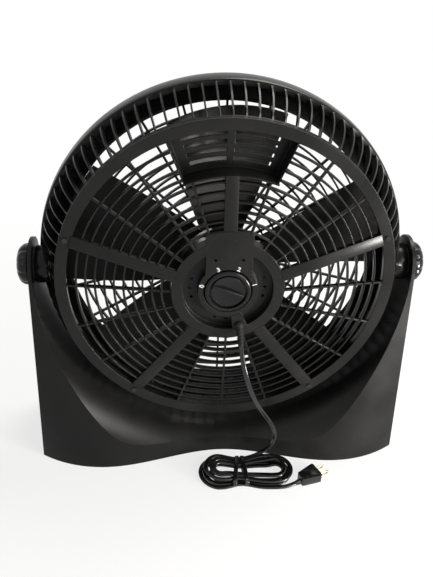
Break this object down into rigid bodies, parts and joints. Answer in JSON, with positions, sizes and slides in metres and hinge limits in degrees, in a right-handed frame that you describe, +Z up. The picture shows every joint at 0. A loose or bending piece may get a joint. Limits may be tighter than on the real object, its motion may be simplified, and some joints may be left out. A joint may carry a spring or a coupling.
{
  "type": "floor fan",
  "caption": "Black floor fan with a round caged head that tilts in a moulded saddle stand, with a speed knob at the back and a tied mains lead.",
  "frame": {"origin": "centre of the footprint on the floor, under the tilt axis", "axes": "+Z up, +Y the way the air blows, +X along the tilt axis to the right as seen from the control side"},
  "size_m": [0.5658, 0.2531, 0.551],
  "materials": {
    "stand_plastic": "satin",
    "grille_plastic": "satin",
    "blade_plastic": "satin",
    "knob_plastic": "gloss",
    "rubber": "matte",
    "cord_sheath": "satin",
    "dark_screw": "satin",
    "motor_shell": "satin",
    "core_steel": "satin",
    "steel": "satin",
    "brass": "satin",
    "winding_wire": "gloss"
  },
  "bodies": {
    "stand": {"stand": "stand_plastic", "rubber_feet": "rubber", "left_friction_washer": "rubber", "right_friction_washer": "rubber", "cord_drop": "cord_sheath", "cord_hank": "cord_sheath", "cord_tie": "cord_sheath", "plug_body": "cord_sheath", "plug_prongs": "brass"},
    "head": {"drum_shroud": "grille_plastic", "rear_grille": "grille_plastic", "rear_ring_screws": "dark_screw", "front_grille": "grille_plastic", "motor_rear_housing": "motor_shell", "motor_front_housing": "motor_shell", "rear_bearing": "brass", "front_bearing": "brass", "stator_core": "core_steel", "stator_windings": "winding_wire", "motor_screws": "dark_screw", "run_capacitor": "knob_plastic", "switch_body": "blade_plastic", "switch_nut": "steel", "strain_relief": "rubber", "left_pivot_insert": "brass", "right_pivot_insert": "brass"},
    "blade": {"motor_rotor": "core_steel", "motor_shaft": "steel", "fan_blade": "blade_plastic", "blade_nut": "blade_plastic"},
    "speed_dial": {"speed_knob": "knob_plastic", "switch_shaft": "steel"},
    "left_clamp": {"left_tilt_knob": "knob_plastic", "left_tilt_stud": "steel"},
    "right_clamp": {"right_tilt_knob": "knob_plastic", "right_tilt_stud": "steel"}
  },
  "joints": [
    {"name": "head_tilt", "type": "hinge", "parent": "stand", "child": "head", "pos_m": [0, 0, 0.296], "axis": [1, 0, 0], "range_deg": [-20, 90], "deforming": ["cord_drop"]},
    {"name": "blade_spin", "type": "hinge", "parent": "head", "child": "blade", "pos_m": [0, 0, 0.296], "axis": [0, 1, 0], "continuous": true},
    {"name": "speed_turn", "type": "hinge", "parent": "head", "child": "speed_dial", "pos_m": [0, -0.08, 0.296], "axis": [0, 1, 0], "range_deg": [0, 150]},
    {"name": "left_clamp_turn", "type": "hinge", "parent": "stand", "child": "left_clamp", "pos_m": [-0.264, 0, 0.296], "axis": [-1, 0, 0], "range_deg": [0, 360]},
    {"name": "right_clamp_turn", "type": "hinge", "parent": "stand", "child": "right_clamp", "pos_m": [0.264, 0, 0.296], "axis": [1, 0, 0], "range_deg": [0, 360]}
  ]
}
